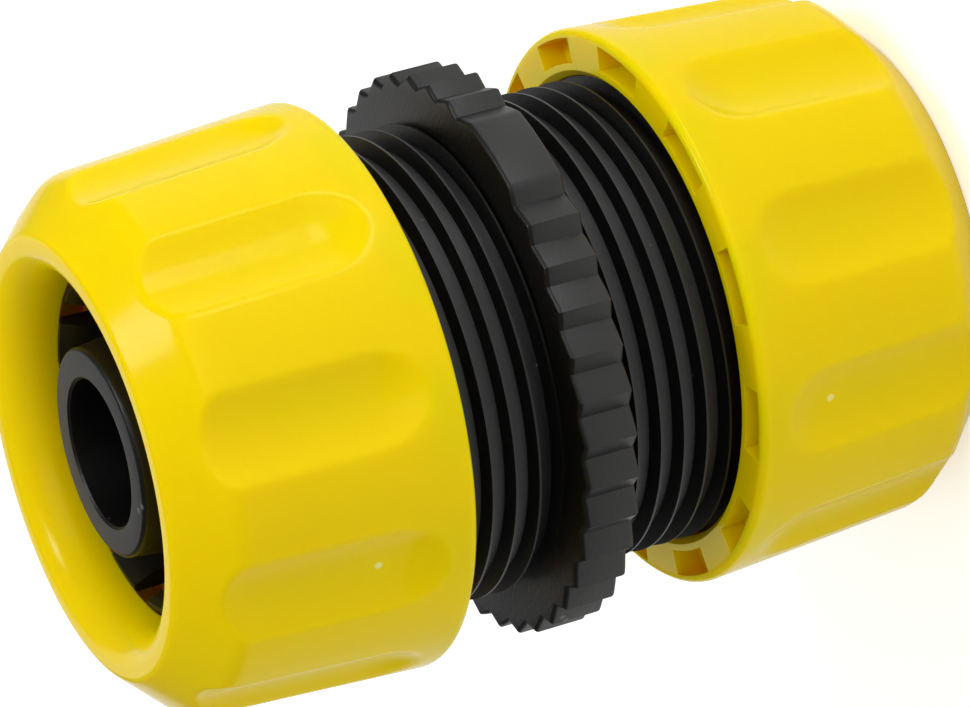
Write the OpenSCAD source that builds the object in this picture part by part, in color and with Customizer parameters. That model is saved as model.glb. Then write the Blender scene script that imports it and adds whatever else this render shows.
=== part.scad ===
// Hose mender for garden hose: a moulded body with a barbed spigot at each end and
// two union nuts that draw its claws down onto the hose. Millimetres, +Z along the
// tube. The mender stands on the mouth of its bottom nut, and the origin is on the
// axis at that face.

/* [Hose] */
// Inside diameter of the hose, which is the plain diameter of a spigot
hose_bore = 12.5; // [10.5:0.1:15]
// Wall of the thickest hose that goes between a spigot and its claws
hose_wall = 2.85; // [2.3:0.05:3.5]
// Free space round the hose in its gap
hose_play = 0.1; // [0.05:0.01:0.3]

/* [Body] */
// Length of the body over both spigot ends
body_len = 48.8; // [44:0.1:60]
// Diameter of the waterway
waterway_d = 8.8; // [7:0.1:10.8]
// Height of a barb above the plain spigot
barb_h = 0.35; // [0.2:0.05:0.6]
// Distance from one barb to the next
barb_pitch = 3.2; // [2.4:0.1:4]
// Barbs on each spigot
barbs = 4; // [2:1:5]
// Wall between the two hose gaps
web_t = 3; // [2:0.1:5]
// Rounding of the spigot's end
tip_round = 0.3; // [0.2:0.05:0.6]

/* [Grip flange] */
// Thickness of the flange
flange_t = 3.4; // [2.6:0.1:4.4]
// Places for teeth round the flange
teeth = 40; // [24:1:60]
// Depth of the notch between two teeth
tooth_depth = 0.65; // [0.4:0.05:0.9]
// Teeth that run together as the plain pad at the front
pad_teeth = 2; // [0:1:4]
// Chamfer on both edges of the flange
flange_edge = 0.3; // [0.1:0.05:0.5]

/* [Thread] */
// Diameter over the thread's crests
thread_d = 28.2; // [24:0.1:34]
// Distance from one crest to the next
thread_pitch = 1.5; // [1.2:0.05:1.9]
// Depth of the thread
thread_depth = 0.9; // [0.6:0.05:1.1]
// Width of a crest
crest_w = 0.4; // [0.25:0.05:0.5]
// Plain neck between the flange and the first crest
neck = 1.1; // [0.8:0.1:1.6]
// Radial running clearance between the crests and a nut
thread_play = 0.05; // [0.02:0.01:0.09]
// Length of thread inside the bottom nut as it stands
thread_grip = 2.6; // [2:0.1:4]

/* [Claws] */
// Claws round each spigot
claws = 12; // [8:1:14]
// Thickness of a claw
claw_t = 1; // [0.8:0.05:1.3]
// Width of the slot between two claws
slot_w = 2; // [1.5:0.1:2.4]
// Unslotted collar between the thread and the claws' slots
collar = 0.6; // [0.4:0.05:1]
// How far the claws end short of the spigot
claw_back = 1.8; // [1.4:0.1:2.6]
// Length of the lead-in that guides the hose inside the claws
lead_len = 1.3; // [0.9:0.1:1.8]
// Turn of the first claw about the axis, in degrees
claw_turn = 7.1; // [0:0.1:30]

/* [Nuts] */
// Length of a nut
nut_len = 17.2; // [14:0.1:21]
// Wall of a nut at its rear rim
nut_wall = 2.85; // [2.3:0.05:3.6]
// Radius that a nut loses from its rear rim to its shoulder
nut_taper = 0.87; // [0.5:0.01:1.1]
// Width of the 45 degree bevel from the shoulder to the ring in front
bevel_w = 3; // [2.4:0.1:3.6]
// Rounding of the shoulder
shoulder_round = 2.2; // [1.4:0.1:2.8]
// Depth of the rolled mouth
mouth_depth = 3; // [2.3:0.1:3.6]
// Width of the roll from the mouth to the flat ring in front
mouth_roll = 2; // [1.6:0.1:2.5]
// Rounding between the bevel and the ring in front
ring_round = 0.6; // [0.3:0.05:0.8]
// Free space between the mouth and the claws
mouth_play = 0.26; // [0.15:0.01:0.5]
// Straight stretch behind the roll
mouth_land = 0.4; // [0.2:0.05:0.8]
// Length of the cone that closes the claws
cone_len = 3.2; // [2.6:0.1:4]
// Rounding of the rear rim
rim_round = 0.5; // [0.3:0.05:0.6]

/* [Flutes and pockets] */
// Grip flutes round a nut
flutes = 10; // [8:1:12]
// Depth of a flute
flute_depth = 0.9; // [0.6:0.05:1.1]
// Radius of a flute's floor
flute_r = 5.5; // [4.5:0.1:6.5]
// Distance from the rear rim to the round end of a flute
flute_start = 2.2; // [1.9:0.1:3]
// Pockets in the rear face of a nut
pockets = 12; // [8:1:14]
// Depth of a pocket
pocket_depth = 1.6; // [1:0.1:1.8]
// Wall on both sides of the pockets
pocket_wall = 0.8; // [0.6:0.05:0.95]
// Rib between two pockets
pocket_rib = 3.8; // [3:0.1:4.8]

/* [As it stands] */
// How far the top nut stands out past its spigot
top_proud = 1.4; // [0.8:0.1:2]
// How far the bottom nut stands out past its spigot
bottom_proud = 2.4; // [1.4:0.1:3]
// Turn of the top nut about the axis, in degrees
top_turn = 11.3; // [0:0.1:36]
// Turn of the bottom nut about the axis, in degrees
bottom_turn = 20; // [0:0.1:36]

/* [Hidden] */
$fn = 96;
// Overshoot of every cut
cut = 1;

// Heights over the middle of the flange
spigot_end = body_len / 2;
claw_end = spigot_end - claw_back;
top_rear = spigot_end + top_proud - nut_len;
bottom_rear = spigot_end + bottom_proud - nut_len;
thread_end = bottom_rear + thread_grip;
flange_face = flange_t / 2;
first_crest = flange_face + neck;
flank_w = (thread_pitch - crest_w) / 3;
crests = floor((thread_end - crest_w / 2 - flank_w - first_crest) / thread_pitch) + 1;
body_mid = nut_len + bottom_rear;

// Radii of the body
water_r = waterway_d / 2;
spigot_r = hose_bore / 2;
barb_r = spigot_r + barb_h;
gap_r = spigot_r + hose_wall + hose_play;
claw_r = gap_r + claw_t;
crest_r = thread_d / 2;
root_r = crest_r - thread_depth;

// Radii of a nut
bore_r = crest_r + thread_play;
rim_r = bore_r + nut_wall;
shoulder_r = rim_r - nut_taper;
mouth_r = claw_r + mouth_play;
front_r = shoulder_r - bevel_w;
roll_w = min(mouth_roll, 0.8 * (front_r - mouth_r));

// Heights of a nut over its rear face
shoulder_z = nut_len - bevel_w;
lip_z = nut_len - mouth_depth;
cone_z = lip_z - mouth_land - cone_len;
body_slope = atan(nut_taper / shoulder_z);

// The flange is as wide as the nuts
flange_r = rim_r;
tooth_pitch = 360 / teeth;

// Points of an elliptic arc about (x, y), both ends included
function arc(x, y, rx, ry, from, to, steps = 8) =
    [for (i = [0:steps]) let (a = from + (to - from) * i / steps) [x + rx * cos(a), y + ry * sin(a)]];

function polar(r, a) = [r * cos(a), r * sin(a)];

// Points of an arc that rounds the corner b between a and c
function rounded(a, b, c, r, steps) = let (
    u = (a - b) / norm(a - b),
    v = (c - b) / norm(c - b),
    half = acos(u * v) / 2,
    mid = b + (u + v) / norm(u + v) * r / sin(half),
    start = b + u * r / tan(half) - mid,
    stop = b + v * r / tan(half) - mid
) arc(mid[0], mid[1], r, r, atan2(start[1], start[0]), atan2(stop[1], stop[0]), steps);

// One barb: a long slope towards the end of the spigot and a steep step behind it
function barb(top) = [
    [spigot_r, top],
    [barb_r, top - 0.8 * barb_pitch],
    [barb_r, top - 0.88 * barb_pitch],
    [spigot_r, top - 0.94 * barb_pitch]
];

// One crest of the thread, passed from its outer to its inner side
function crest(z) = [
    [root_r, z + crest_w / 2 + flank_w],
    [crest_r, z + crest_w / 2],
    [crest_r, z - crest_w / 2],
    [root_r, z - crest_w / 2 - flank_w]
];

// Half of the body's section, from the middle of the flange outwards
function half_section() = let (
    taper = root_r - claw_r,
    chamfer = 0.15 * claw_t,
    tip_w = 0.25 * claw_t,
    last = first_crest + (crests - 1) * thread_pitch
) concat(
    [[water_r, spigot_end - tip_round / 2], [water_r + tip_round / 2, spigot_end]],
    arc(spigot_r - tip_round, spigot_end - tip_round, tip_round, tip_round, 90, 0, 4),
    [for (i = [0:barbs - 1]) each barb(spigot_end - 2 * tip_round - i * barb_pitch)],
    [[spigot_r, web_t / 2], [gap_r, web_t / 2]],
    [[gap_r, claw_end - lead_len], [claw_r - chamfer - tip_w, claw_end]],
    [[claw_r - chamfer, claw_end], [claw_r, claw_end - chamfer]],
    [[claw_r, thread_end + taper], [root_r, thread_end]],
    [for (i = [0:crests - 1]) each crest(last - i * thread_pitch)]
);

// The whole section: the same half on both sides of the flange
function body_section() = let (half = half_section()) concat(
    half,
    [for (i = [len(half) - 1:-1:0]) [half[i][0], -half[i][1]]]
);

// The toothed outline of the flange: a tooth, then a notch, and no notch in the pad
function flange_outline() = [
    for (i = [0:teeth - 1]) let (a = (i + pad_teeth / 2) * tooth_pitch - 90)
        each (i < teeth - pad_teeth
            ? [polar(flange_r, a), polar(flange_r, a + 0.12 * tooth_pitch),
               polar(flange_r - tooth_depth, a + 0.5 * tooth_pitch),
               polar(flange_r - tooth_depth, a + 0.6 * tooth_pitch)]
            : [for (j = [0:3]) polar(flange_r, a + j * tooth_pitch / 4)])
];

// The outline, cut off by a disc whose rim is a 45 degree ridge that chamfers the teeth
module flange() {
    inside = (gap_r + root_r) / 2;
    ridge_r = flange_r - flange_edge + flange_face;
    intersection() {
        linear_extrude(flange_t + cut, center = true)
            polygon(flange_outline());
        rotate_extrude()
            polygon([
                [inside, -flange_face], [flange_r - flange_edge, -flange_face], [ridge_r, 0],
                [flange_r - flange_edge, flange_face], [inside, flange_face]
            ]);
    }
}

// A slot between two claws, with a round root
module claw_slot() {
    deep = (gap_r + barb_r) / 2;
    half = slot_w / 2;
    translate([deep, 0, 0])
        rotate([90, 0, 90])
            linear_extrude(crest_r - deep)
                polygon(concat(
                    [[half, claw_end + cut], [-half, claw_end + cut]],
                    arc(0, thread_end + collar + half, half, half, 180, 360)
                ));
}

module mender_body() {
    color("#2e2e2c")
        translate([0, 0, body_mid])
            difference() {
                union() {
                    rotate_extrude()
                        polygon(body_section());
                    flange();
                }
                for (i = [0:claws - 1], side = [0, 1])
                    rotate([0, 0, claw_turn + (i + 0.5) * 360 / claws])
                        mirror([0, 0, side])
                            claw_slot();
            }
}

// Section of a nut, from its rear face to its mouth
function nut_section() = concat(
    [[bore_r + thread_depth / 2, 0]],
    arc(rim_r - rim_round, rim_round, rim_round, rim_round, -90, 0, 4),
    rounded([rim_r, rim_round], [shoulder_r, shoulder_z], [front_r, nut_len], shoulder_round, 6),
    rounded([shoulder_r, shoulder_z], [front_r, nut_len], [mouth_r, nut_len], ring_round, 3),
    arc(mouth_r + roll_w, lip_z, roll_w, mouth_depth, 90, 180, 10),
    [[mouth_r, lip_z - mouth_land], [bore_r, cone_z], [bore_r, thread_depth / 2]]
);

// A scoop with a round end that runs out through the shoulder
module flute() {
    half_w = sqrt(2 * flute_depth * flute_r * rim_r / (rim_r + flute_r));
    start = flute_start + half_w;
    translate([rim_r + flute_r - flute_depth - start * tan(body_slope), 0, start])
        rotate([0, -body_slope, 0]) {
            sphere(r = flute_r);
            cylinder(r = flute_r, h = nut_len);
        }
}

// A pocket in the rear face, between two ribs
module pocket() {
    inner = bore_r + pocket_wall;
    outer = rim_r - pocket_wall;
    half = 180 / pockets;
    inner_a = half - asin(pocket_rib / 2 / inner);
    outer_a = half - asin(pocket_rib / 2 / outer);
    translate([0, 0, -cut])
        linear_extrude(pocket_depth + cut)
            polygon(concat(
                arc(0, 0, inner, inner, -inner_a, inner_a, 2),
                arc(0, 0, outer, outer, outer_a, -outer_a, 2)
            ));
}

// A nut with its rear face at zero and its mouth upwards
module nut() {
    difference() {
        rotate_extrude()
            polygon(nut_section());
        for (i = [0:flutes - 1])
            rotate([0, 0, i * 360 / flutes])
                flute();
        for (i = [0:pockets - 1])
            rotate([0, 0, i * 360 / pockets])
                pocket();
    }
}

module top_nut() {
    color("#f2d400")
        translate([0, 0, body_mid + top_rear])
            rotate([0, 0, top_turn])
                nut();
}

module bottom_nut() {
    color("#f2d400")
        translate([0, 0, body_mid - bottom_rear])
            mirror([0, 0, 1])
                rotate([0, 0, bottom_turn])
                    nut();
}

mender_body();
top_nut();
bottom_nut();
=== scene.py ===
import math

import bmesh
import bpy
from mathutils import Matrix, Vector


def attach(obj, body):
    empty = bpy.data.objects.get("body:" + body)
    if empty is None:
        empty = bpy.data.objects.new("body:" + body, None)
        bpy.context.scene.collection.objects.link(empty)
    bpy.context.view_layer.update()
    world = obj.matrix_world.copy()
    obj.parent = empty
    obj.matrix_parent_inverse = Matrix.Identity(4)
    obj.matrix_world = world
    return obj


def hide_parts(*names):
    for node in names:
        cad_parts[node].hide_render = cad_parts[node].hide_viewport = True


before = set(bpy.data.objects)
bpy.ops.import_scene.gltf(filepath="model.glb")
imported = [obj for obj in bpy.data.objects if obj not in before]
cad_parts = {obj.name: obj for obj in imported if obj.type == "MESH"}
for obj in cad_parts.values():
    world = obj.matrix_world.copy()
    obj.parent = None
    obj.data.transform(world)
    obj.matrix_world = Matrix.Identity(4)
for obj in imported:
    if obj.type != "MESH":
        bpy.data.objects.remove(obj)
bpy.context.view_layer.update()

MM = 0.001

# The photograph's view: a long lens that looks down on the mender's top end, rolled so
# that the tube lies nearly level in the picture.
CAMERA_AT = Vector((-192.96, -244.65, 154.58)) * MM
CAMERA_AIM = Vector((-0.33, 0.22, 26.53)) * MM
CAMERA_ROLL = math.radians(-105.55)
LENS = 212.3

# Sizes in millimetres, as the solids have them. Heights of the body count from the
# middle of its flange, and heights of a nut from its rear face.
BODY_MID = 26.8
SPIGOT_END = 24.4
SPIGOT_R = 6.25
WATER_R = 4.4
TIP_ROUND = 0.3
BARB_H = 0.35
BARB_PITCH = 3.2
BARBS = 4
WEB_HALF = 1.5
GAP_R = 9.2
CLAW_R = 10.2
CLAW_END = 22.6
CLAW_TIP = 0.25
CLAW_CHAMFER = 0.15
LEAD_LEN = 1.3
CLAWS = 12
CLAW_TURN = 7.1
SLOT_W = 2.0
SLOT_ROOT = 12.8
THREAD_END = 12.2
CREST_R = 14.1
ROOT_R = 13.2
THREAD_PITCH = 1.5
THREAD_STEPS = 120
RIDGE_ROOT_HALF = 0.36
RIDGE_CREST_HALF = 0.07
RIDGE_SUNK = 0.3
TOP_START = 0.9
TOP_TURNS = 7.1
BOTTOM_START = -11.44
BOTTOM_TURNS = 6.4
FLANGE_HALF = 1.7
FLANGE_R = 17.0
TEETH = 40
PAD_TEETH = 2
TOOTH_DEPTH = 0.65
TOOTH_LEAN = 0.625
FLANGE_BEVEL = 0.28
BODY_STEPS = 192

NUT_LEN = 17.2
RIM_R = 17.0
SHOULDER_R = 16.13
SHOULDER_ROUND = 2.2
BEVEL_W = 3.0
RING_ROUND = 0.6
MOUTH_ROLL = 2.0
MOUTH_R = 10.46
MOUTH_DEPTH = 3.0
MOUTH_LAND = 0.4
CONE_LEN = 3.2
BORE_R = 14.15
RIM_ROUND = 0.5
FLUTES = 10
FLUTE_DEPTH = 0.9
FLUTE_R = 5.5
FLUTE_START = 2.2
POCKETS = 12
POCKET_DEPTH = 1.6
POCKET_IN = 14.95
POCKET_OUT = 16.2
POCKET_HALF = math.radians(8.1)
TOP_REAR = 8.6
BOTTOM_REAR = 9.6
GROOVE_DEPTH = 0.45
GROOVE_SLOPE = 1.6
NUT_STEPS = 600
TOP_TURN = math.radians(11.3)
BOTTOM_TURN = math.radians(20)

# Levels of the white surround and of the card under the mender, where 1 is white: what
# lights the pieces, what their gloss shows, and what the camera sees on top of the card's
# own lit face
ROOM_LIGHT = 0.6
ROOM_IN_GLOSS = 0.1
CARD_IN_GLOSS = 0.2
CARD_LIFT = 0.48
FLOOR_HALF = 3

# Places of the small marks, in the frame's millimetres
GATE_MARKS = [(-15.45, -3.09, 41.09), (-14.78, -5.55, 12.05)]
SCUFFS = [(-5.44, -0.93, 51.2), (-5.75, -1.6, 51.2), (-15.15, 7.67, 27.5), (-15.13, 7.2, 27.8)]

TURN = 2 * math.pi


def linear(code):
    """A colour of the shader from its sRGB hex value."""
    parts = [int(code[i:i + 2], 16) / 255 for i in (1, 3, 5)]
    return [p / 12.92 if p <= 0.04045 else ((p + 0.055) / 1.055) ** 2.4 for p in parts] + [1.0]


def add_node(tree, kind, inputs=(), **settings):
    """Adds a node, sets its properties, and links or fills its inputs."""
    made = tree.nodes.new(kind)
    for key, value in settings.items():
        setattr(made, key, value)
    for key, value in dict(inputs).items():
        if isinstance(value, bpy.types.NodeSocket):
            tree.links.new(value, made.inputs[key])
        else:
            made.inputs[key].default_value = value
    return made


def blank_material(name):
    material = bpy.data.materials.new(name)
    material.use_nodes = True
    material.node_tree.nodes.clear()
    return material, material.node_tree


def set_camera():
    camera = bpy.data.objects.new("camera", bpy.data.cameras.new("camera"))
    camera.data.lens = LENS
    camera.data.sensor_width = 36
    camera.data.clip_start = 0.01
    look = (CAMERA_AIM - CAMERA_AT).to_track_quat("-Z", "Y").to_matrix().to_4x4()
    camera.matrix_world = Matrix.Translation(CAMERA_AT) @ look @ Matrix.Rotation(CAMERA_ROLL, 4, "Z")
    bpy.context.scene.collection.objects.link(camera)
    bpy.context.scene.camera = camera


def soft_lamp(name, azimuth, elevation, far, wide, tall, radiance):
    """A softbox aimed at the mender's middle. It stands `far` metres away."""
    data = bpy.data.lights.new(name, "AREA")
    data.shape = "RECTANGLE"
    data.size = wide
    data.size_y = tall
    data.energy = radiance * math.pi * wide * tall
    lamp = bpy.data.objects.new(name, data)
    lamp.visible_camera = False
    a, e = math.radians(azimuth), math.radians(elevation)
    away = Vector((math.cos(e) * math.cos(a), math.cos(e) * math.sin(a), math.sin(e)))
    at = Vector((0, 0, BODY_MID * MM)) + far * away
    lamp.matrix_world = Matrix.Translation(at) @ (-away).to_track_quat("-Z", "Y").to_matrix().to_4x4()
    bpy.context.scene.collection.objects.link(lamp)


def set_world():
    """A white surround that lights the mender softly and reads as plain white itself. A gloss
    shows it dim, as the studio above the card was."""
    world = bpy.data.worlds.new("white_surround")
    world.use_nodes = True
    tree = world.node_tree
    tree.nodes.clear()
    path = add_node(tree, "ShaderNodeLightPath")
    soft = add_node(tree, "ShaderNodeMapRange", {
        "Value": path.outputs["Is Glossy Ray"], "To Min": ROOM_LIGHT, "To Max": ROOM_IN_GLOSS})
    seen = add_node(tree, "ShaderNodeMath", {0: path.outputs["Is Camera Ray"],
                                             1: path.outputs["Is Transmission Ray"]}, operation="MAXIMUM")
    level = add_node(tree, "ShaderNodeMapRange", {
        "Value": seen.outputs[0], "To Min": soft.outputs[0], "To Max": 1.0})
    back = add_node(tree, "ShaderNodeBackground", {"Color": (1, 1, 1, 1), "Strength": level.outputs[0]})
    add_node(tree, "ShaderNodeOutputWorld", {"Surface": back.outputs[0]})
    bpy.context.scene.world = world


def floor_material():
    """White card: matt, and bright enough to the camera that only shadows show on it."""
    material, tree = blank_material("white_card")
    path = add_node(tree, "ShaderNodeLightPath")
    fibre = add_node(tree, "ShaderNodeTexNoise", {"Scale": 900, "Detail": 3})
    bump = add_node(tree, "ShaderNodeBump", {"Height": fibre.outputs["Fac"], "Strength": 0.05,
                                             "Distance": 0.0002})
    card = add_node(tree, "ShaderNodeBsdfDiffuse", {"Color": linear("#F4F4F2"), "Normal": bump.outputs[0]})
    glow = add_node(tree, "ShaderNodeEmission", {"Color": (1, 1, 1, 1)})
    mirrored = add_node(tree, "ShaderNodeMath", {0: path.outputs["Is Glossy Ray"], 1: CARD_IN_GLOSS},
                        operation="MULTIPLY")
    lit = add_node(tree, "ShaderNodeMath", {0: path.outputs["Is Camera Ray"], 1: CARD_LIFT,
                                            2: mirrored.outputs[0]}, operation="MULTIPLY_ADD")
    tree.links.new(lit.outputs[0], glow.inputs["Strength"])
    both = add_node(tree, "ShaderNodeAddShader", {0: card.outputs[0], 1: glow.outputs[0]})
    add_node(tree, "ShaderNodeOutputMaterial", {"Surface": both.outputs[0]})
    return material


def lay_floor():
    bm = bmesh.new()
    bmesh.ops.create_grid(bm, x_segments=2, y_segments=2, size=FLOOR_HALF)
    mesh = bpy.data.meshes.new("floor")
    bm.to_mesh(mesh)
    bm.free()
    mesh.materials.append(floor_material())
    floor = bpy.data.objects.new("floor", mesh)
    bpy.context.scene.collection.objects.link(floor)


def marks(tree, place, points, radius):
    """A mask of small soft-edged dots about points given in millimetres."""
    mask = 0.0
    for point in points:
        far = add_node(tree, "ShaderNodeVectorMath", {0: place.outputs["Object"], 1: Vector(point) * MM},
                       operation="DISTANCE")
        dot = add_node(tree, "ShaderNodeMapRange", {
            "Value": far.outputs["Value"], "From Min": 0.6 * radius * MM, "From Max": radius * MM,
            "To Min": 1.0, "To Max": 0.0})
        larger = add_node(tree, "ShaderNodeMath", {0: mask, 1: dot.outputs[0]}, operation="MAXIMUM")
        mask = larger.outputs[0]
    return mask


def nut_plastic():
    """Yellow polypropylene, injection moulded: a soft gloss with a faint orange-peel, and a
    little light that passes into the wall and warms its shadows."""
    material, tree = blank_material("moulded_yellow_polypropylene")
    place = add_node(tree, "ShaderNodeTexCoord")
    flow = add_node(tree, "ShaderNodeTexNoise", {"Vector": place.outputs["Object"], "Scale": 60,
                                                 "Detail": 2})
    tint = add_node(tree, "ShaderNodeMix", {"Factor": flow.outputs["Fac"], "A": linear("#F8DA00"),
                                            "B": linear("#F4D300")}, data_type="RGBA")
    # The gate's pale scar in one flute of each nut
    scar = marks(tree, place, GATE_MARKS, 0.28)
    faded = add_node(tree, "ShaderNodeMix", {"Factor": scar, "A": tint.outputs["Result"],
                                             "B": linear("#FFEE90")}, data_type="RGBA")
    # Orange-peel of about 1.2 mm from crest to crest
    peel = add_node(tree, "ShaderNodeTexNoise", {"Vector": place.outputs["Object"], "Scale": 800,
                                                 "Detail": 1})
    bump = add_node(tree, "ShaderNodeBump", {"Height": peel.outputs["Fac"], "Strength": 0.12,
                                             "Distance": 0.0001})
    shine = add_node(tree, "ShaderNodeMapRange", {"Value": flow.outputs["Fac"], "To Min": 0.15,
                                                  "To Max": 0.19})
    skin = add_node(tree, "ShaderNodeBsdfPrincipled", {
        "Base Color": faded.outputs["Result"], "Roughness": shine.outputs[0], "IOR": 1.49,
        "Specular IOR Level": 0.1,
        "Subsurface Weight": 0.5, "Subsurface Radius": (1.0, 0.4, 0.05), "Subsurface Scale": 0.0015,
        "Normal": bump.outputs[0]})
    add_node(tree, "ShaderNodeOutputMaterial", {"Surface": skin.outputs[0]})
    return material


def body_plastic():
    """Black ABS from a sparked mould: satin, with a fine grain and a few pale specks."""
    material, tree = blank_material("moulded_black_abs")
    place = add_node(tree, "ShaderNodeTexCoord")
    grain = add_node(tree, "ShaderNodeTexNoise", {"Vector": place.outputs["Object"], "Scale": 3500,
                                                  "Detail": 3})
    cloud = add_node(tree, "ShaderNodeTexNoise", {"Vector": place.outputs["Object"], "Scale": 180,
                                                  "Detail": 2})
    tint = add_node(tree, "ShaderNodeMix", {"Factor": cloud.outputs["Fac"], "A": linear("#060606"),
                                            "B": linear("#0A0A09")}, data_type="RGBA")
    # A nick on the spigot's ring and a light scrape on the flange
    scuff = marks(tree, place, SCUFFS, 0.22)
    cells = add_node(tree, "ShaderNodeTexVoronoi", {"Vector": place.outputs["Object"], "Scale": 330})
    speck = add_node(tree, "ShaderNodeMapRange", {"Value": cells.outputs["Distance"], "From Min": 0.012,
                                                  "From Max": 0.03, "To Min": 0.8, "To Max": 0.0})
    pale = add_node(tree, "ShaderNodeMath", {0: scuff, 1: speck.outputs[0]}, operation="MAXIMUM")
    faded = add_node(tree, "ShaderNodeMix", {"Factor": pale.outputs[0], "A": tint.outputs["Result"],
                                             "B": linear("#5A5850")}, data_type="RGBA")
    bump = add_node(tree, "ShaderNodeBump", {"Height": grain.outputs["Fac"], "Strength": 0.3,
                                             "Distance": 0.00006})
    skin = add_node(tree, "ShaderNodeBsdfPrincipled", {
        "Base Color": faded.outputs["Result"], "Roughness": 0.45, "IOR": 1.52,
        "Specular IOR Level": 0.55, "Normal": bump.outputs[0]})
    add_node(tree, "ShaderNodeOutputMaterial", {"Surface": skin.outputs[0]})
    return material


def arc(x, y, rx, ry, start, end, steps):
    """Points of an elliptic arc in a section, angles in degrees, both ends included."""
    angles = [math.radians(start + (end - start) * i / steps) for i in range(steps + 1)]
    return [(x + rx * math.cos(a), y + ry * math.sin(a)) for a in angles]


def stretch(start, end, steps):
    """Points along a straight stretch, without its end."""
    return [tuple(a + (b - a) * i / steps for a, b in zip(start, end)) for i in range(steps)]


def revolve(section, steps, closed=True):
    """Spins a section of (radius, height) points about the Z axis, a twelfth at a time."""
    bm = bmesh.new()
    ring = [bm.verts.new((r, 0, z)) for r, z in section]
    pairs = list(zip(ring, ring[1:])) + ([(ring[-1], ring[0])] if closed else [])
    edges = [bm.edges.new(pair) for pair in pairs]
    bmesh.ops.spin(bm, geom=ring + edges, cent=(0, 0, 0), axis=(0, 0, 1), angle=TURN / 12,
                   steps=steps // 12)
    part = list(bm.verts) + list(bm.edges) + list(bm.faces)
    for i in range(1, 12):
        made = bmesh.ops.duplicate(bm, geom=part)
        moved = [v for v in made["geom"] if isinstance(v, bmesh.types.BMVert)]
        bmesh.ops.rotate(bm, matrix=Matrix.Rotation(TURN * i / 12, 3, "Z"), verts=moved)
    bmesh.ops.remove_doubles(bm, verts=bm.verts, dist=1e-4)
    bmesh.ops.recalc_face_normals(bm, faces=bm.faces)
    return bm


def to_object(bm, name):
    """An object at the origin from a bmesh in millimetres."""
    bmesh.ops.scale(bm, vec=(MM, MM, MM), verts=bm.verts)
    mesh = bpy.data.meshes.new(name)
    bm.to_mesh(mesh)
    bm.free()
    piece = bpy.data.objects.new(name, mesh)
    bpy.context.scene.collection.objects.link(piece)
    return piece


def finish_piece(piece, node, material, crease):
    piece.data.materials.clear()
    piece.data.materials.append(material)
    piece.data.shade_smooth()
    piece.data.set_sharp_from_angle(angle=math.radians(crease))
    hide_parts(node)
    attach(piece, node)


def combine(piece, other, operation):
    """Joins a second closed mesh to a piece, or cuts it away, and deletes it."""
    step = piece.modifiers.new(operation.lower(), "BOOLEAN")
    step.operation = operation
    step.solver = "MANIFOLD"
    step.object = other
    made = bpy.data.meshes.new_from_object(piece.evaluated_get(bpy.context.evaluated_depsgraph_get()))
    piece.modifiers.clear()
    piece.data = made
    bpy.data.objects.remove(other)


def corner(a, b, c, r, steps):
    """Points of an arc that rounds the corner b between a and c."""
    a, b, c = Vector(a), Vector(b), Vector(c)
    u, v = (a - b).normalized(), (c - b).normalized()
    half = u.angle(v) / 2
    middle = b + (u + v).normalized() * r / math.sin(half)
    start = b + u * r / math.tan(half) - middle
    stop = b + v * r / math.tan(half) - middle
    return arc(middle.x, middle.y, r, r, math.degrees(math.atan2(start.y, start.x)),
               math.degrees(math.atan2(stop.y, stop.x)), steps)


def nut_section():
    """The nut's section from the rear rim, over the shoulder and back through the mouth."""
    shoulder = (SHOULDER_R, NUT_LEN - BEVEL_W)
    ring = (SHOULDER_R - BEVEL_W, NUT_LEN)
    lip = NUT_LEN - MOUTH_DEPTH
    cone = lip - MOUTH_LAND - CONE_LEN
    rear = stretch((BORE_R + 0.4, 0), (POCKET_IN, 0), 1) + stretch((POCKET_IN, 0), (POCKET_OUT, 0), 2)
    rim = arc(RIM_R - RIM_ROUND, RIM_ROUND, RIM_ROUND, RIM_ROUND, -90, 0, 6)
    bend = corner((RIM_R, RIM_ROUND), shoulder, ring, SHOULDER_ROUND, 10)
    turn = corner(shoulder, ring, (MOUTH_R, NUT_LEN), RING_ROUND, 6)
    wall = stretch((RIM_R, RIM_ROUND), bend[0], 42)[1:]
    front = bend + stretch(bend[-1], turn[0], 12)[1:] + turn
    mouth = arc(MOUTH_R + MOUTH_ROLL, lip, MOUTH_ROLL, MOUTH_DEPTH, 90, 180, 16)
    throat = [(MOUTH_R, lip - MOUTH_LAND)] + stretch((MOUTH_R, lip - MOUTH_LAND), (BORE_R, cone), 4)[1:]
    bore = stretch((BORE_R, cone), (BORE_R, 0.4), 36)
    return rear + rim + wall + front + mouth + throat + bore + [(BORE_R, 0.4)]


def soft_min(a, b, blend):
    """The smaller of two lengths, with the corner between them rounded."""
    share = max(blend - abs(a - b), 0) / blend
    return min(a, b) - share * share * blend / 4


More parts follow.
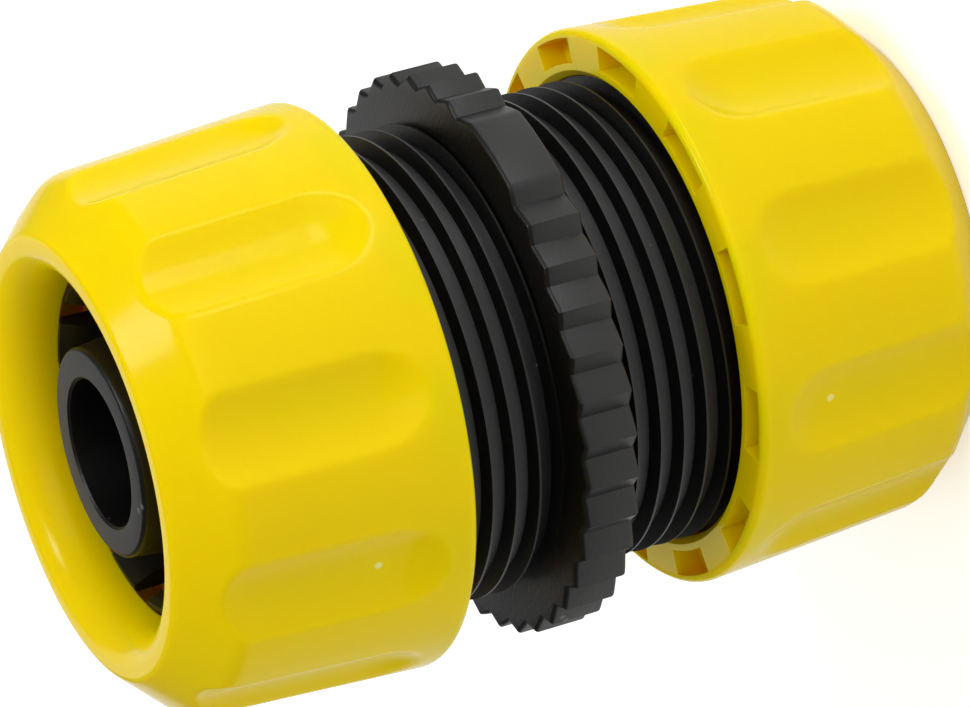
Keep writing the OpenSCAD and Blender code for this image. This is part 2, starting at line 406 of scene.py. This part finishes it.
def scoop_flutes(bm):
    """Presses the grip flutes into the outer wall: round-ended scoops that run out through
    the shoulder."""
    slope = (RIM_R - SHOULDER_R) / (NUT_LEN - BEVEL_W)
    half_w = math.sqrt(2 * FLUTE_DEPTH * FLUTE_R * RIM_R / (RIM_R + FLUTE_R))
    start = FLUTE_START + half_w
    for v in bm.verts:
        r = math.hypot(v.co.x, v.co.y)
        if r < MOUTH_R + MOUTH_ROLL or v.co.z < 1:
            continue
        angle = math.atan2(v.co.y, v.co.x)
        off = (angle + TURN / FLUTES / 2) % (TURN / FLUTES) - TURN / FLUTES / 2
        middle = RIM_R + FLUTE_R - FLUTE_DEPTH - v.co.z * slope
        reach = FLUTE_R ** 2 - max(start - v.co.z, 0) ** 2 - (middle * math.sin(off)) ** 2
        if reach <= 0:
            continue
        floor = middle * math.cos(off) - math.sqrt(reach)
        if r > BORE_R + 0.5 or v.co.z > NUT_LEN - MOUTH_DEPTH:
            pressed = soft_min(r, floor, 0.25)
            v.co.x *= pressed / r
            v.co.y *= pressed / r


def sink_pockets(bm):
    """Sinks the pockets between the ribs of the rear face."""
    picked = []
    for face in bm.faces:
        middle = face.calc_center_median()
        r = math.hypot(middle.x, middle.y)
        angle = math.atan2(middle.y, middle.x)
        off = (angle + TURN / POCKETS / 2) % (TURN / POCKETS) - TURN / POCKETS / 2
        if middle.z < 0.01 and POCKET_IN < r < POCKET_OUT and abs(off) < POCKET_HALF:
            picked.append(face)
    made = bmesh.ops.extrude_face_region(bm, geom=picked)
    floor = [v for v in made["geom"] if isinstance(v, bmesh.types.BMVert)]
    bmesh.ops.translate(bm, vec=(0, 0, POCKET_DEPTH), verts=floor)
    bmesh.ops.delete(bm, geom=picked, context="FACES")


def cut_inner_thread(bm):
    """Grooves of the nut's own thread, cut outwards from the bore."""
    cone = NUT_LEN - MOUTH_DEPTH - MOUTH_LAND - CONE_LEN
    for v in bm.verts:
        r = math.hypot(v.co.x, v.co.y)
        if abs(r - BORE_R) > 0.01 or not 0.6 < v.co.z < cone - 0.8:
            continue
        lead = (v.co.z / THREAD_PITCH - math.atan2(v.co.y, v.co.x) / TURN) % 1
        depth = GROOVE_DEPTH * min(1, max(0, GROOVE_SLOPE * (1 - 2 * abs(lead - 0.5))))
        v.co.x *= (r + depth) / r
        v.co.y *= (r + depth) / r


def make_nut(name, rear, turn, up):
    bm = revolve(nut_section(), NUT_STEPS)
    scoop_flutes(bm)
    cut_inner_thread(bm)
    sink_pockets(bm)
    if not up:
        bmesh.ops.rotate(bm, matrix=Matrix.Rotation(math.pi, 3, "X"), verts=bm.verts)
    bmesh.ops.rotate(bm, matrix=Matrix.Rotation(turn, 3, "Z"), verts=bm.verts)
    bmesh.ops.translate(bm, vec=(0, 0, rear), verts=bm.verts)
    bmesh.ops.recalc_face_normals(bm, faces=bm.faces)
    return to_object(bm, name)


def half_body_section():
    """The body's section from its tip, over the spigot and the hose gap to the skirt."""
    points = [(WATER_R, SPIGOT_END - TIP_ROUND / 2), (WATER_R + TIP_ROUND / 2, SPIGOT_END)]
    points += arc(SPIGOT_R - TIP_ROUND, SPIGOT_END - TIP_ROUND, TIP_ROUND, TIP_ROUND, 90, 0, 5)
    for i in range(BARBS):
        top = SPIGOT_END - 2 * TIP_ROUND - i * BARB_PITCH
        points += [(SPIGOT_R, top), (SPIGOT_R + BARB_H, top - 0.8 * BARB_PITCH),
                   (SPIGOT_R + BARB_H, top - 0.88 * BARB_PITCH), (SPIGOT_R, top - 0.94 * BARB_PITCH)]
    points += [(SPIGOT_R, WEB_HALF), (GAP_R, WEB_HALF), (GAP_R, CLAW_END - LEAD_LEN)]
    points += [(CLAW_R - CLAW_CHAMFER - CLAW_TIP, CLAW_END), (CLAW_R - CLAW_CHAMFER, CLAW_END)]
    points += [(CLAW_R, CLAW_END - CLAW_CHAMFER)]
    return points + [(CLAW_R, THREAD_END + ROOT_R - CLAW_R), (ROOT_R, THREAD_END)]


def body_core():
    half = half_body_section()
    section = half + [(r, -z) for r, z in reversed(half)]
    return to_object(revolve(section, BODY_STEPS), "union_body")


def claw_slots():
    """Cutters for the slots between the claws, on both ends."""
    bm = bmesh.new()
    deep = (GAP_R + SPIGOT_R + BARB_H) / 2
    half = SLOT_W / 2
    outline = [(y, z + SLOT_ROOT + half) for y, z in arc(0, 0, half, half, 180, 360, 12)]
    outline += [(half, CLAW_END + 1), (-half, CLAW_END + 1)]
    for i in range(CLAWS):
        for side in (1, -1):
            face = bm.faces.new([bm.verts.new((deep, y, side * z)) for y, z in outline])
            made = bmesh.ops.extrude_face_region(bm, geom=[face])
            moved = [v for v in made["geom"] if isinstance(v, bmesh.types.BMVert)]
            bmesh.ops.translate(bm, vec=(CREST_R - deep, 0, 0), verts=moved)
            turn = math.radians(CLAW_TURN + (i + 0.5) * 360 / CLAWS)
            bmesh.ops.rotate(bm, matrix=Matrix.Rotation(turn, 3, "Z"), verts=list(face.verts) + moved)
    bmesh.ops.recalc_face_normals(bm, faces=bm.faces)
    return to_object(bm, "claw_slots")


def flange():
    """The toothed grip flange, with the plain pad at the front."""
    bm = bmesh.new()
    per_tooth = 8
    bmesh.ops.create_circle(bm, cap_ends=True, radius=1, segments=TEETH * per_tooth)
    for v in bm.verts:
        place = ((math.degrees(math.atan2(v.co.y, v.co.x)) + 90) / 360 * TEETH - PAD_TEETH / 2) % TEETH
        notch = min((place % 1) / TOOTH_LEAN, (1 - place % 1) / (1 - TOOTH_LEAN))
        depth = TOOTH_DEPTH * notch if place < TEETH - PAD_TEETH else 0
        v.co *= (FLANGE_R - depth) / v.co.length
        v.co.z = -FLANGE_HALF
    made = bmesh.ops.extrude_face_region(bm, geom=list(bm.faces))
    moved = [v for v in made["geom"] if isinstance(v, bmesh.types.BMVert)]
    bmesh.ops.translate(bm, vec=(0, 0, 2 * FLANGE_HALF), verts=moved)
    bmesh.ops.recalc_face_normals(bm, faces=bm.faces)
    rims = [e for e in bm.edges if len(e.link_faces) == 2 and e.calc_face_angle() > 1.2]
    bmesh.ops.bevel(bm, geom=rims, offset=FLANGE_BEVEL, offset_type="OFFSET", segments=3, profile=0.5,
                    affect="EDGES", material=-1)
    return to_object(bm, "flange")


def thread(start, turns, name):
    """A helical ridge, swept from one face of its section."""
    bm = bmesh.new()
    sunk = ROOT_R - RIDGE_SUNK
    below = [(sunk, -RIDGE_ROOT_HALF - 0.08), (ROOT_R, -RIDGE_ROOT_HALF), (CREST_R, -RIDGE_CREST_HALF)]
    section = below + [(r, -z) for r, z in reversed(below)]
    face = bm.faces.new([bm.verts.new((r, 0, z)) for r, z in section])
    steps = int(THREAD_STEPS * turns)
    bmesh.ops.spin(bm, geom=[face], cent=(0, 0, 0), axis=(0, 0, 1), angle=TURN * turns,
                   steps=steps, dvec=(0, 0, THREAD_PITCH * turns / steps))
    bmesh.ops.translate(bm, vec=(0, 0, start), verts=bm.verts)
    bmesh.ops.recalc_face_normals(bm, faces=bm.faces)
    return to_object(bm, name)


def make_body():
    piece = body_core()
    combine(piece, claw_slots(), "DIFFERENCE")
    combine(piece, flange(), "UNION")
    combine(piece, thread(TOP_START, TOP_TURNS, "thread_top"), "UNION")
    combine(piece, thread(BOTTOM_START, BOTTOM_TURNS, "thread_bottom"), "UNION")
    past = SPIGOT_END + 10
    bore = revolve([(0, -past), (WATER_R, -past), (WATER_R, past), (0, past)], BODY_STEPS, closed=False)
    combine(piece, to_object(bore, "bore"), "DIFFERENCE")
    piece.data.transform(Matrix.Translation((0, 0, BODY_MID * MM)))
    return piece


set_camera()
set_world()
lay_floor()
# Softboxes by azimuth and elevation in degrees, then distance, width and height in metres,
# and radiance: a small one over the shoulder, a long one beside the flutes, the wide key
# and a weak one from behind
soft_lamp("crown", -58, 60, 0.3, 0.07, 0.07, 13)
soft_lamp("strip", -75, -1, 0.2, 0.075, 0.045, 5)
soft_lamp("key", -105, 22, 0.45, 0.4, 0.33, 0.85)
soft_lamp("back", 45, 20, 0.4, 0.2, 0.2, 0.8)

yellow = nut_plastic()
black = body_plastic()
body = make_body()
finish_piece(body, "mender_body", black, 35)
top = make_nut("upper_nut", BODY_MID + TOP_REAR, TOP_TURN, True)
finish_piece(top, "top_nut", yellow, 40)
bottom = make_nut("lower_nut", BODY_MID - BOTTOM_REAR, BOTTOM_TURN, False)
finish_piece(bottom, "bottom_nut", yellow, 40)

bpy.context.scene.view_settings.view_transform = "Standard"
